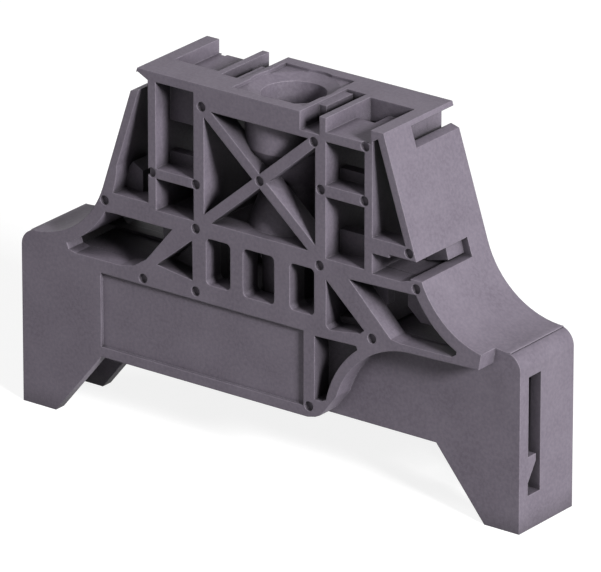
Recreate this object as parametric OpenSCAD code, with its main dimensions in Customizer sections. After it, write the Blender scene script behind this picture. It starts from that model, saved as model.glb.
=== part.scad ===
// Screw-on end stop for a 35 mm DIN rail: one ribbed moulded body, one screw
// and one steel clamp that the screw draws up under the rail's two lips.
// X runs across the rail, Y along the rail (camera side is -Y), Z is up.
// Z = 0 is under the two feet. The body repeats itself after half a turn about Z.

/* [Body outline] */
// Length across the rail
body_len = 53; // [50:0.5:58]
// Thickness along the rail
body_t = 10; // [8:0.5:12]
// Height from feet to top
body_h = 34.7; // [32:0.1:40]
// Half width of the top plate
top_half = 13.35; // [12:0.05:15]
// Sideways run of a flank per mm of height
flank_slope = 0.325; // [0.2:0.005:0.4]
// Level of the two shoulders
shoulder_z = 16.65; // [14:0.05:19]
// Radius of the sweep between flank and shoulder
sweep_r = 8.6; // [6:0.1:11]
// Radius of the outer shoulder corner
corner_r = 1.6; // [1.3:0.1:3]

/* [Rail seat] */
// Width of the rail between its lips' edges
rail_w = 35; // [34:0.1:36]
// Play of the rail between the feet
rail_play = 0.2; // [0:0.05:0.6]
// Height of the rail seat above the feet
seat_z = 6.4; // [5:0.1:9]
// Length of each foot's sole
sole_len = 3.7; // [2.5:0.1:5]

/* [Walls] */
// Wall of shoulders, ends and feet
wall = 1.15; // [0.8:0.05:1.5]
// Wall of the two flanks, measured level
flank_wall = 0.8; // [0.6:0.05:1.2]
// Step from the rib plane back to the foot and the webs
step = 2.1; // [1.5:0.1:2.8]
// Thickness of the webs behind the ribs
web = 1.0; // [0.7:0.05:1.3]

/* [Ribs] */
// Outer face of the two deep walls of the tower
tower_x = 12.2; // [11.8:0.05:12.6]
// Width of the deep walls
deep_rib = 0.85; // [0.7:0.05:1.2]
// Outer face of the two inner ribs
inner_x = 7.2; // [6.8:0.05:7.6]
// Width of the inner ribs
inner_rib = 1.15; // [0.9:0.05:1.4]
// Underside of the main cross rib
main_z = 20.55; // [20:0.05:21]
// Height of the main cross rib
main_h = 1.45; // [1:0.05:1.8]
// Width of the crossed diagonal ribs
diag_w = 1.0; // [0.7:0.05:1.4]
// Underside of the lattice border above the label panel
border_z = 14.4; // [13.8:0.05:15]

/* [Label panel] */
// Left end of the sunk label panel
label_x0 = -17.6; // [-19:0.1:-15]
// Right end of the sunk label panel
label_x1 = 4.78; // [3:0.05:5]
// Lower edge of the label panel
label_z = 7.35; // [7:0.05:8]
// Depth of the label panel
label_deep = 0.3; // [0.1:0.05:0.5]

/* [Screw tube] */
// Outer radius of the tube at the top
tube_r = 4.3; // [3.9:0.05:4.35]
// Outer radius at the waist
waist_r = 2.75; // [2.5:0.05:3.2]
// Outer radius of the flare on the main rib
flare_r = 4.15; // [3.5:0.05:4.3]
// Outer radius of the lower tube
low_r = 2.8; // [2.5:0.05:3]
// Level of the waist
waist_z = 25.9; // [25:0.1:27]
// Screw hole radius at the top
hole_r = 2.9; // [2.8:0.01:3]
// Radius of the bevel at the hole's mouth
mouth_r = 4.0; // [3.4:0.1:4.2]
// Level of the ledge the screw head sits on
ledge_z = 28.4; // [28:0.1:29]

/* [Screw and clamp] */
// Thread diameter of the screw
screw_d = 3; // [2.5:0.5:3.5]
// Head diameter of the screw
head_d = 5.66; // [5:0.02:5.7]
// Head height
head_h = 2.4; // [1.8:0.1:3]
// Level of the screw's tip
tip_z = 7.2; // [6.8:0.1:9]
// Play round the shank and round the head
run_fit = 0.06; // [0.03:0.01:0.1]
// Sheet thickness of the clamp
sheet = 1.2; // [1:0.1:1.5]
// Width of the clamp's legs
leg_w = 4.6; // [4:0.1:5]
// Half length of the clamp's middle plate
mid_x = 4.6; // [4:0.1:4.8]
// Half width of the clamp's middle plate
mid_y = 3.1; // [2.6:0.1:3.2]
// Clamp plate's top when drawn fully up
clamp_z = 13.6; // [13:0.1:14]
// Underside of the hooks when drawn fully up
hook_z = 5.8; // [5.6:0.1:6.2]
// Inner end of the hooks
hook_x = 16.4; // [15.5:0.1:17]
// Inner face of the legs
leg_x = 19.4; // [18.5:0.1:20.5]

/* [Hidden] */
$fn = 64;
e = 0.01;
big = 60;
half_len = body_len / 2;
half_t = body_t / 2;
seat_x = (rail_w + rail_play) / 2;
sole_x = half_len - sole_len;
gap_run = (sole_x - seat_x) / seat_z;
lo = half_t - step;                       // recessed plane
slant = sqrt(1 + flank_slope * flank_slope);
sweep_z = shoulder_z + sweep_r;
sweep_x = slant * sweep_r + top_half + flank_slope * (body_h - sweep_z);
touch_z = sweep_z - sweep_r * flank_slope / slant;
top_under = 32.4;                         // underside of the middle block
plate_lo = 32.53;                         // pocket plate
plate_hi = 33.4;
band_lo = 33.8;                           // band over the tall windows
pocket_y = 1.4;
chan_floor = 33.0;
shank_r = screw_d / 2;
function flank(z) = top_half + flank_slope * (body_h - z);

// an XZ drawing given depth between two Y planes
module slab(y0, y1) translate([0, y1, 0]) rotate([90, 0, 0]) linear_extrude(y1 - y0) children();
module twice() { children(); rotate([0, 0, 180]) children(); }
module box(x0, y0, z0, x1, y1, z1) translate([x0, y0, z0]) cube([x1 - x0, y1 - y0, z1 - z0]);
module pane(x0, z0, x1, z1) translate([x0, z0]) square([x1 - x0, z1 - z0]);
module soft_pane(x0, z0, x1, z1, r) {
    pane(x0 + r, z0, x1 - r, z1);
    pane(x0, z0 + r, x1, z1 - r);
    for (x = [x0 + r, x1 - r], z = [z0 + r, z1 - r]) translate([x, z]) circle(r);
}

// right half of the outline, moved in by w (ends, shoulder) and f (flank)
module half_2d(w, f, z0, z1) {
    difference() {
        union() {
            polygon([[-e, z0], [half_len - w, z0], [half_len - w, shoulder_z - corner_r],
                [half_len - corner_r, shoulder_z - w], [sweep_x, shoulder_z - w],
                [flank(touch_z) - f, touch_z], [flank(z1) - f, z1], [-e, z1]]);
            translate([half_len - corner_r, shoulder_z - corner_r]) circle(corner_r - w);
        }
        translate([sweep_x, sweep_z]) circle(sweep_r + w, $fn = 96);
    }
}
module whole_2d(w, f, z0, z1) { half_2d(w, f, z0, z1); mirror([1, 0]) half_2d(w, f, z0, z1); }

// room for the rail between the feet
module rail_2d() polygon([[-sole_x - gap_run, -1], [-seat_x, seat_z], [seat_x, seat_z], [sole_x + gap_run, -1]]);
module outline_2d() difference() { whole_2d(0, 0, 0, body_h); rail_2d(); }

// the stepped-back area round the right foot: sweep, flare at the seat, spike
module recess_2d() {
    translate([16.5, 6.6]) circle(8.5, $fn = 96);
    polygon([[16.5, 15.1], [23.6, 15.34], [23.95, 17.5], [big, 17.5], [big, -1], [16.5, -1]]);
    polygon([[8.4, 9.1], [6.95, 7.2], [6.6, 6.85], [6.1, 6.6], [5.2, seat_z - e], [5.2, -1], [17, -1], [17, 9.1]]);
}
module raised_2d() difference() { outline_2d(); recess_2d(); }

// openings of the rib plane, left to right
module windows_2d() {
    tx = tower_x - deep_rib;
    ix = inner_x - inner_rib;
    cross_top = main_z + main_h;
    // tower: tall and low panes left, crossed middle, low and tall panes right
    pane(-tx, 25.7, -inner_x, band_lo);
    pane(-tx, cross_top - 0.2, -inner_x, 24.8);
    pane(inner_x, 28.5, tx, plate_lo);
    pane(inner_x, cross_top - 0.3, tx, 27.43);
    difference() {
        pane(-ix, cross_top, ix, top_under);
        for (s = [-1, 1]) translate([0, (cross_top + top_under) / 2])
            rotate(s * atan2(top_under - cross_top, 2 * ix)) square([big, diag_w], center = true);
    }
    // wedges beside the flanks
    polygon([[-tower_x - e, 22.3], [-flank(22.3) + flank_wall, 22.3], [-flank(33) + flank_wall, 33], [-tower_x - e, 33]]);
    polygon([[tower_x, 24.85], [flank(24.85) - flank_wall, 24.85], [flank(34.1) - flank_wall, 34.1], [tower_x, 34.1]]);
    polygon([[tower_x, 21.5], [15.2, 21.5], [17.2, 22.1], [big, 22.1], [big, 23.6], [15.2, 23.4], [tower_x, 23.4]]);
    // row under the main rib
    soft_pane(-5.85, 16.15, -3.2, main_z - 0.05, 0.45);
    soft_pane(-1.8, 16.0, 1.6, main_z - 0.05, 0.45);
    soft_pane(3.3, 16.05, 5.95, main_z - 0.15, 0.45);
    polygon([[-11.3, 16.7], [-7.4, 19.9], [-7.35, 16.15]]);
    polygon([[7.25, 19.75], [7.25, 15.45], [7.6, 15.15], [10.9, 15.6], [11.35, 16.0]]);
    // left shoulder pocket, right shoulder pane
    difference() {
        polygon([[-21.38, 16.3], [-21.2, 15.8], [-20.4, 15.6], [-15.42, 15.65], [-13.9, 15.97], [-12.5, 16.9],
            [-9.6, main_z - 0.15], [-16, main_z - 0.15], [-21.38, 20]]);
        translate([-sweep_x, sweep_z]) circle(sweep_r + wall - 0.1, $fn = 96);
    }
    difference() {
        polygon([[9.7, main_z - 0.15], [17.6, main_z + 0.1], [21.2, 20], [21.2, 16.2], [20.7, 15.85], [15.2, 15.75], [14.2, 15.9]]);
        translate([sweep_x, sweep_z]) circle(sweep_r + 0.75, $fn = 96);
    }
    // pane between label panel and the swept rib
    difference() {
        polygon([[6.0, 14.2], [10.45, 14.35], [10.6, 14.1], [10.6, 10], [6.7, 8.2], [6.0, 8.2]]);
        translate([16.5, 6.6]) circle(9.45, $fn = 96);
    }
}

// shallow round marks left where ribs meet
MARKS = [[-6.33, 32.64], [5.88, 32.21], [-11.84, 25.26], [-6.98, 25.25], [0, 27.2], [6.63, 27.97], [11.39, 33.04],
    [11.32, 28.01], [-17.1, 21.4], [-7.0, 21.1], [6.51, 20.9], [-12.86, 15.0], [-7.04, 15.2], [16.9, 21.2],
    [12.18, 15.45], [5.38, 7.42], [16.1, 24.3]];

// everything on the camera side of the middle plane
module front_half() {
    // shell: flanks, shoulders, ends, down to the soles
    slab(-lo, e) difference() { outline_2d(); whole_2d(wall, flank_wall, -2, body_h + 1); }
    // left shell comes forward to the rib plane
    slab(-half_t, e) intersection() {
        difference() { outline_2d(); whole_2d(wall, flank_wall, -2, body_h + 1); }
        raised_2d();
    }
    // rib plane
    difference() {
        slab(-half_t, -lo) raised_2d();
        slab(-half_t - e, -lo + e) windows_2d();
        // hollow behind the left foot and the label panel
        slab(-half_t + wall, -lo + e) intersection() {
            whole_2d(wall, flank_wall, -2, 34);
            polygon([[-big, -2], [label_x1 + 0.1, -2], [label_x1 + 0.1, border_z], [-14.2, border_z], [-15.5, 15.1], [-big, 15.1]]);
        }
    }
    // skin of the recessed right foot, closed above by the shoulder rib
    slab(-lo, -lo + wall) intersection() {
        outline_2d();
        union() { recess_2d(); polygon([[5, 5], [5, 15.4], [9, 15.9], [24, 15.9], [24, 5]]); }
    }
    // deep walls and ribs of the tower
    for (x = [-tower_x, tower_x - deep_rib]) box(x, -lo - e, 16, x + deep_rib, e, band_lo);
    for (x = [-inner_x, inner_x - inner_rib]) box(x, -lo - e, 15, x + inner_rib, e, 33.2);
    box(-17.4, -lo - e, main_z, 17.4, e, main_z + 1.0);
    box(-21.3, -lo - e, border_z, 21.3, e, border_z + 1.25);
    // webs behind the windows
    for (p = [[-11.5, 25.6, -7, 26.8], [-11.5, 29.7, -7, band_lo + 0.1], [7, 28.4, 11.5, 29.5], [7, 21, 11.5, 23.85],
            [7, 27, 11.5, 27.5]])
        box(p[0], -lo - e, p[1], p[2], -lo + web, p[3]);
    slab(-lo - e, -lo + web) {
        polygon([[-11.6, 16], [-7, 20.6], [-7, 16]]);
        polygon([[10.6, 20.6], [10.6, 19.1], [12.36, 18.0], [12.4, 20.6]]);
        polygon([[14.5, 20.7], [14.5, 18.4], [15.9, 17.2], [20.7, 17.3], [18.6, 19.4], [17.4, 20.9]]);
        polygon([[5.5, 8], [5.5, 14.6], [11, 14.6], [8.5, 11]]);
    }
}

// screw tube: straight, coned to the waist, flared onto the main rib, low tube
module tube_solid() {
    translate([0, 0, 29.5]) cylinder(r = tube_r, h = top_under - 29.5 + 0.3);
    translate([0, 0, waist_z + 0.4]) cylinder(r1 = waist_r, r2 = tube_r, h = 29.5 - waist_z - 0.4 + e);
    translate([0, 0, waist_z - 0.4 - e]) cylinder(r = waist_r, h = 0.8 + 2 * e);
    translate([0, 0, main_z + 1.0]) cylinder(r1 = flare_r, r2 = waist_r, h = waist_z - 0.4 - main_z - 1.0);
    translate([0, 0, border_z + 0.3]) cylinder(r = low_r, h = main_z - border_z);
}
module tube_bore() {
    translate([0, 0, ledge_z]) cylinder(r = hole_r, h = 10);
    translate([0, 0, border_z - 1]) cylinder(r = shank_r + run_fit, h = 20);
    translate([0, 0, body_h - 0.8]) cylinder(r1 = hole_r, r2 = mouth_r, h = 0.5);
    translate([0, 0, body_h - 0.3 - e]) cylinder(r = mouth_r, h = 1);
    box(-3.8, -3.8, body_h - 0.3, 3.8, 3.8, body_h + 1);
}

// top: middle block, bands, pocket plates, fins and end strips
module top_add() {
    box(-inner_x, -half_t, top_under, inner_x, half_t, body_h);
    twice() {
        slab(-half_t, -pocket_y) polygon([[-top_half, body_h], [0.4 - inner_x, body_h], [0.4 - inner_x, band_lo], [-tower_x, band_lo], [-top_half, 34.4]]);
        slab(-half_t, half_t) polygon([[-top_half, body_h], [-12, body_h], [-12, 33.7], [-tower_x, 33.7], [-top_half, 34.4]]);
        box(-tower_x, -pocket_y - 0.8, plate_lo, -inner_x + 0.2, half_t, plate_hi);
        box(-tower_x, -pocket_y - 0.8, plate_lo, -inner_x + 0.2, -pocket_y, body_h - 0.1);
    }
}
module top_cut() twice() {
    difference() {
        box(4.4, -half_t - 1, chan_floor, 6.5, 1.8, body_h + 1);
        box(4.4 - e, -2.2, chan_floor - 1, 5.2, 1.6, 34.5);
    }
    box(inner_x, -half_t - 1, plate_hi, 12, pocket_y, body_h + 1);
    box(inner_x, -0.6, 30, 9.2, pocket_y, 34);
}

module body_solid() {
    difference() {
        union() {
            twice() front_half();
            tube_solid();
            top_add();
        }
        tube_bore();
        top_cut();
        twice() {
            // label panel
            slab(-half_t - 1, -half_t + label_deep) pane(label_x0, label_z, label_x1, border_z);
            // marks
            for (m = MARKS) translate([m[0], -half_t - 1, m[1]]) rotate([-90, 0, 0]) cylinder(r = 0.45, h = 1.3, $fn = 20);
            // slot across the flank and notch under the tip
            box(14, -half_t - 1, 22.0, 19, 2.4, 23.7);
            slab(-1.2, half_t + 1) polygon([[tower_x + e, 32.9], [14.4, 32.3], [14.6, 33.9], [13.3, 34.35], [tower_x + e, 33.8]]);
            // latch slot through the end wall with its barb
            difference() {
                box(half_len - 2, -1.65, 3.2, half_len + 1, 0.15, 14.3);
                translate([half_len - 3, 0, 0]) rotate([90, 0, 90]) linear_extrude(5)
                    polygon([[-2, 4.0], [-1.65, 4.4], [-0.5, 6.2], [-0.5, 6.85], [-2, 6.85]]);
            }
        }
    }
}

module body() color([0.41, 0.385, 0.425]) body_solid();

// cheese-head screw with a driver slot
module screw() color([0.72, 0.73, 0.74]) difference() {
    union() {
        translate([0, 0, ledge_z]) cylinder(r = head_d / 2, h = head_h - 0.3);
        translate([0, 0, ledge_z + head_h - 0.3 - e]) cylinder(r1 = head_d / 2, r2 = head_d / 2 - 0.3, h = 0.3 + e);
        translate([0, 0, tip_z + 0.5]) cylinder(r = shank_r, h = ledge_z - tip_z);
        translate([0, 0, tip_z]) cylinder(r1 = shank_r - 0.5, r2 = shank_r, h = 0.5 + e);
    }
    box(-4, -0.4, ledge_z + head_h - 1.1, 4, 0.4, ledge_z + head_h + 1);
}

// stamped clamp: tapped plate, two legs set to either side, hooks turned in
module clamp() color([0.66, 0.67, 0.69]) difference() {
    union() {
        box(-mid_x, -mid_y, clamp_z - sheet, mid_x, mid_y, clamp_z);
        translate([0, 0, clamp_z - sheet - 1.6]) cylinder(r = 2.5, h = 1.7);
        twice() {
            y0 = -lo + wall + 0.35;
            box(mid_x - 1, y0, clamp_z - sheet, leg_x + sheet, y0 + leg_w, clamp_z);
            box(leg_x, y0, hook_z, leg_x + sheet, y0 + leg_w, clamp_z);
            box(hook_x, y0, hook_z, leg_x + sheet, y0 + leg_w, hook_z + sheet);
        }
    }
    cylinder(r = shank_r + run_fit, h = 30);
}

body();
screw();
clamp();
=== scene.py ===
import math

import bmesh
import bpy
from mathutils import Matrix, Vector


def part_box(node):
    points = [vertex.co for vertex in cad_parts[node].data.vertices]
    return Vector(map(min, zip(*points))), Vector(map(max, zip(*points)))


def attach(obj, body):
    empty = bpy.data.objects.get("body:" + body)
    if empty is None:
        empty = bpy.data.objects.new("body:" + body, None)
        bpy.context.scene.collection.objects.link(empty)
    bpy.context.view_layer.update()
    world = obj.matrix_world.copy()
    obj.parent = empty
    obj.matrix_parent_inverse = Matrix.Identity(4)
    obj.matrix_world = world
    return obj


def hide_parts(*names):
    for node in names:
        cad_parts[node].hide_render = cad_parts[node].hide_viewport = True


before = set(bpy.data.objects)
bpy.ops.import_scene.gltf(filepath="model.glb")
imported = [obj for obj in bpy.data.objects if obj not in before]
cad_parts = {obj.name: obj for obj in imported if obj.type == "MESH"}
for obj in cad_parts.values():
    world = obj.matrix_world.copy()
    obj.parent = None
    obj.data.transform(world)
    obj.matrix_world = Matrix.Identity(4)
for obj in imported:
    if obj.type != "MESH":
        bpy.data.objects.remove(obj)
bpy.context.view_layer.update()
scene = bpy.context.scene
scene.view_settings.view_transform = "Standard"

# Camera: looks at the front from the right and from above, with a long lens
# as for a product picture. The small shift only places the part in the frame.
azimuth, elevation, distance = math.radians(37.02), math.radians(21.92), 0.79856
middle = Vector((0, 0, 0.016))
level = math.cos(elevation)
back = Vector((math.sin(azimuth) * level, -math.cos(azimuth) * level, math.sin(elevation)))
bpy.ops.object.camera_add(location=middle + back * distance)
camera = bpy.context.object
camera.name = "camera"
camera.rotation_euler = back.to_track_quat("Z", "Y").to_euler()
camera.data.sensor_width = 36
camera.data.lens = 546.56
camera.data.shift_x = 0.0108
camera.data.shift_y = -0.0034
camera.data.clip_start = 0.01
camera.data.clip_end = 20
scene.camera = camera


# Body: one moulding of dark grey glass-filled polyamide with a matt, faintly
# eroded skin. Its softly rounded edges carry a painted highlight, its corners and
# hollows painted shade, and flow in the mould leaves very weak clouds of tone.
def linear(hex_colour):
    """An sRGB hex colour as linear RGBA."""
    parts = [int(hex_colour[i:i + 2], 16) / 255 for i in (1, 3, 5)]
    return [c / 12.92 if c <= 0.04045 else ((c + 0.055) / 1.055) ** 2.4 for c in parts] + [1.0]


def node(tree, kind, inputs=None, **settings):
    """Adds one shader node; a value that is a socket is linked to its input."""
    made = tree.nodes.new(kind)
    for key, value in settings.items():
        setattr(made, key, value)
    for key, value in (inputs or {}).items():
        if isinstance(value, bpy.types.NodeSocket):
            tree.links.new(value, made.inputs[key])
        else:
            made.inputs[key].default_value = value
    return made


def blank_material(name):
    """A new material with an empty node tree."""
    made = bpy.data.materials.new(name)
    made.use_nodes = True
    made.node_tree.nodes.clear()
    return made, made.node_tree


cloud_size = 0.003846
speck_size = 0.0003125
grain_size = 0.000238  # the real grain is finer; drawn as coarse as it shows
edge_radius = 0.00014
painted_shade_reach = 0.0045
polyamide, tree = blank_material("polyamide_grey")
place = node(tree, "ShaderNodeTexCoord").outputs["Object"]
flow = node(tree, "ShaderNodeTexNoise",
            {"Vector": place, "Scale": 1 / cloud_size, "Detail": 3.0, "Roughness": 0.5})
speck = node(tree, "ShaderNodeTexNoise",
             {"Vector": place, "Scale": 1 / speck_size, "Detail": 2.0, "Roughness": 0.6})
flow_part = node(tree, "ShaderNodeMapRange",
                 {"Value": flow.outputs["Fac"], "From Min": 0.3, "From Max": 0.7})
tone = node(tree, "ShaderNodeMix",
            {"Factor": flow_part.outputs["Result"], "A": linear("#5a535e"), "B": linear("#645d68")},
            data_type="RGBA")
speck_part = node(tree, "ShaderNodeMapRange",
                  {"Value": speck.outputs["Fac"], "From Min": 0.35, "From Max": 0.65,
                   "To Min": 0.0, "To Max": 0.25})
tone = node(tree, "ShaderNodeMix",
            {"Factor": speck_part.outputs["Result"], "A": tone.outputs["Result"], "B": linear("#7d7681")},
            data_type="RGBA")
soft = node(tree, "ShaderNodeBevel", {"Radius": edge_radius}, samples=6)
flat = node(tree, "ShaderNodeNewGeometry")
same = node(tree, "ShaderNodeVectorMath",
            {0: soft.outputs["Normal"], 1: flat.outputs["Normal"]}, operation="DOT_PRODUCT")
# Painted highlight: the rounded edges are mixed up to halfway toward a lighter grey, where light would
# catch them.
painted_highlight_mask = node(tree, "ShaderNodeMapRange",
            {"Value": same.outputs["Value"], "From Min": 0.995, "From Max": 0.8,
             "To Min": 0.0, "To Max": 0.5})
tone = node(tree, "ShaderNodeMix",
            {"Factor": painted_highlight_mask.outputs["Result"], "A": tone.outputs["Result"], "B": linear("#8f8893")},
            data_type="RGBA")
# Painted shade: ambient occlusion darkens corners, hollows and window insides to about an eighth of the
# colour.
deep = node(tree, "ShaderNodeAmbientOcclusion", {"Distance": painted_shade_reach}, samples=8)
shade = node(tree, "ShaderNodeMapRange",
             {"Value": deep.outputs["AO"], "From Min": 0.2, "From Max": 0.75,
              "To Min": 0.12, "To Max": 1.0})
tone = node(tree, "ShaderNodeVectorMath",
            {0: tone.outputs["Result"], "Scale": shade.outputs["Result"]}, operation="SCALE")
grain = node(tree, "ShaderNodeTexNoise", {"Vector": place, "Scale": 1 / grain_size, "Detail": 2.0})
bump = node(tree, "ShaderNodeBump",
            {"Height": grain.outputs["Fac"], "Normal": soft.outputs["Normal"],
             "Strength": 0.25, "Distance": 0.00006})
shader = node(tree, "ShaderNodeBsdfPrincipled",
              {"Base Color": tone.outputs["Vector"], "Roughness": 0.62,
               "Specular IOR Level": 0.35, "Normal": bump.outputs["Normal"]})
node(tree, "ShaderNodeOutputMaterial", {"Surface": shader.outputs["BSDF"]})
for material_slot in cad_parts["body"].material_slots:
    material_slot.material = polyamide


# Inner blocks: behind the slot in each flank the moulding has a small block
# that fills the corner between the tower's deep wall and the flank. The
# second is the first turned half round the screw, as the whole body is.
def deselect():
    """Leaves edit mode and deselects every object."""
    if bpy.context.object and bpy.context.object.mode == "EDIT":
        bpy.ops.object.mode_set(mode="OBJECT")
    bpy.ops.object.select_all(action="DESELECT")


wall_x, outer_x = 0.0142, 0.0166
block_low, block_high = 0.0216, 0.0249
block_near, block_far = 0.0001, 0.0032
weld = 0.000001
slants = [
    ((wall_x, block_low), (outer_x, 0.0222)),
    ((outer_x, 0.0222), (0.0162, 0.0237)),
    ((0.0162, 0.0237), (0.0153, block_high)),
    ((0.0153, block_high), (wall_x, 0.0243)),
]
deselect()
bpy.ops.mesh.primitive_cube_add(
    size=1,
    location=((wall_x + outer_x) / 2, (block_near + block_far) / 2, (block_low + block_high) / 2),
    scale=(outer_x - wall_x, block_far - block_near, block_high - block_low),
)
inner_blocks = bpy.context.object
inner_blocks.name = "inner_blocks"
bpy.ops.object.transform_apply(location=True, rotation=True, scale=True)
bpy.ops.object.mode_set(mode="EDIT")
for (x0, z0), (x1, z1) in slants:
    bpy.ops.mesh.select_all(action="SELECT")
    bpy.ops.mesh.bisect(plane_co=(x0, 0, z0), plane_no=Vector((z1 - z0, 0, x0 - x1)).normalized(),
                        use_fill=True, clear_outer=True, threshold=weld)
bpy.ops.mesh.select_all(action="SELECT")
bpy.ops.mesh.remove_doubles(threshold=weld)
bpy.ops.mesh.select_all(action="SELECT")
bpy.ops.mesh.duplicate()
bpy.ops.transform.rotate(value=math.pi, orient_axis="Z", center_override=(0, 0, 0))
bpy.ops.mesh.select_all(action="SELECT")
bpy.ops.mesh.normals_make_consistent(inside=False)
bpy.ops.object.mode_set(mode="OBJECT")
inner_blocks.data.materials.append(polyamide)
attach(inner_blocks, "body")


# Clamp: stamped from zinc-plated sheet steel and bent, drawn up inside the
# hollow base. The plating is smooth with faint rolling clouds about 1 mm wide.
rolling_size = 0.00111
steel, tree = blank_material("plated_steel")
place = node(tree, "ShaderNodeTexCoord").outputs["Object"]
rolled = node(tree, "ShaderNodeTexNoise",
              {"Vector": place, "Scale": 1 / rolling_size, "Detail": 3.0})
rough = node(tree, "ShaderNodeMapRange",
             {"Value": rolled.outputs["Fac"], "To Min": 0.28, "To Max": 0.5})
steel_tone = node(tree, "ShaderNodeMix",
                  {"Factor": rolled.outputs["Fac"], "A": linear("#a9abae"), "B": linear("#bfc1c3")},
                  data_type="RGBA")
shader = node(tree, "ShaderNodeBsdfPrincipled",
              {"Base Color": steel_tone.outputs["Result"], "Metallic": 1.0,
               "Roughness": rough.outputs["Result"]})
node(tree, "ShaderNodeOutputMaterial", {"Surface": shader.outputs["BSDF"]})
for name in ("clamp", "screw"):
    for material_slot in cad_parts[name].material_slots:
        material_slot.material = steel


# Screw: a cheese-head M3 of the same plated steel with its rolled thread,
# 0.5 mm for each turn, and a driver slot. It stands for the plain CAD screw,
# in the same place and size. The thread's surface is worked out by formula.
tip, top = (corner[2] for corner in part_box("screw"))
pitch, crest, root = 0.0005, 0.00147, 0.00119
thread_low, thread_high, rows, columns = tip + 0.0004, 0.0245, 204, 28
head_radius, face_radius, head_height, chamfer = 0.00282, 0.00253, 0.0024, 0.0003
slot_width, slot_depth = 0.0008, 0.0011
ledge = top - head_height
levels = [(tip, False, 0.0011), (thread_low, True, 0)]
levels += [(thread_low + (thread_high - thread_low) * (row + 1) / rows, True, 0) for row in range(rows)]
levels += [(thread_high + 0.0002, False, crest), (ledge, False, crest), (ledge, False, head_radius),
           (top - chamfer, False, head_radius), (top, False, face_radius)]
shape = bmesh.new()
rings = []
for z, threaded, radius in levels:
    ring = []
    for column in range(columns):
        turn = column / columns
        if threaded:
            radius = root + (crest - root) * abs(((z / pitch - turn) % 1) * 2 - 1)
        angle = turn * math.tau
        ring.append(shape.verts.new((radius * math.cos(angle), radius * math.sin(angle), z)))
    rings.append(ring)
for under, over in zip(rings, rings[1:]):
    for i in range(columns):
        j = (i + 1) % columns
        shape.faces.new((under[i], under[j], over[j], over[i]))
shape.faces.new(rings[0][::-1])
shape.faces.new(rings[-1])
bmesh.ops.recalc_face_normals(shape, faces=shape.faces)
mesh = bpy.data.meshes.new("threaded_screw")
shape.to_mesh(mesh)
shape.free()
threaded_screw = bpy.data.objects.new("threaded_screw", mesh)
scene.collection.objects.link(threaded_screw)
deselect()
bpy.ops.mesh.primitive_cube_add(size=1, location=(0, 0, top), scale=(0.008, slot_width, 2 * slot_depth))
slot_tool = bpy.context.object
bpy.ops.object.transform_apply(location=True, rotation=True, scale=True)
deselect()
bpy.context.view_layer.objects.active = threaded_screw
threaded_screw.select_set(True)
cut = threaded_screw.modifiers.new("slot", "BOOLEAN")
cut.operation = "DIFFERENCE"
cut.object = slot_tool
bpy.ops.object.modifier_apply(modifier="slot")
bpy.data.objects.remove(slot_tool, do_unlink=True)
mesh.materials.clear()
mesh.materials.append(steel)
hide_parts("screw")
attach(threaded_screw, "screw")


# Floor: a plain pale sheet that reads white to the camera and in gloss, and
# keeps the soft shadow under the two feet.
def seen_directly(tree):
    """1 for camera, glossy and transmission rays, 0 for all other rays."""
    ray = node(tree, "ShaderNodeLightPath")
    seen = node(tree, "ShaderNodeMath",
                {0: ray.outputs["Is Camera Ray"], 1: ray.outputs["Is Glossy Ray"]}, operation="MAXIMUM")
    seen = node(tree, "ShaderNodeMath",
                {0: seen.outputs["Value"], 1: ray.outputs["Is Transmission Ray"]}, operation="MAXIMUM")
    return seen.outputs["Value"]


bpy.ops.mesh.primitive_plane_add(size=6, location=(0, 0, 0))
floor = bpy.context.object
floor.name = "floor"
pale, tree = blank_material("pale_floor")
lit = node(tree, "ShaderNodeBsdfDiffuse", {"Color": linear("#8c8c8c")})
glow = node(tree, "ShaderNodeEmission", {"Color": linear("#ffffff"), "Strength": 0.86})
both = node(tree, "ShaderNodeAddShader", {0: lit.outputs["BSDF"], 1: glow.outputs["Emission"]})
mixed = node(tree, "ShaderNodeMixShader",
             {"Fac": seen_directly(tree), 1: lit.outputs["BSDF"], 2: both.outputs["Shader"]})
node(tree, "ShaderNodeOutputMaterial", {"Surface": mixed.outputs["Shader"]})
floor.data.materials.append(pale)

# Light: a soft key from the right and above, a weaker one from the left and
# above, and a very dim world that is white only where it is seen directly.
world = bpy.data.worlds.new("studio")
scene.world = world
world.use_nodes = True
tree = world.node_tree
tree.nodes.clear()
dim = node(tree, "ShaderNodeBackground", {"Color": linear("#ffffff"), "Strength": 0.02})
white = node(tree, "ShaderNodeBackground", {"Color": linear("#ffffff"), "Strength": 1.0})
mixed = node(tree, "ShaderNodeMixShader",
             {"Fac": seen_directly(tree), 1: dim.outputs["Background"], 2: white.outputs["Background"]})
node(tree, "ShaderNodeOutputWorld", {"Surface": mixed.outputs["Shader"]})


def lamp(name, at, size, power):
    """A square soft lamp that looks at the part's middle."""
    bpy.ops.object.light_add(type="AREA", location=at)
    made = bpy.context.object
    made.name = name
    made.data.size = size
    made.data.energy = power
    made.rotation_euler = (Vector(at) - middle).to_track_quat("Z", "Y").to_euler()


lamp("key", (0.62, -0.21, 0.32), 0.14, 9.8)
lamp("fill", (-0.25, -0.22, 0.62), 0.24, 1.1)
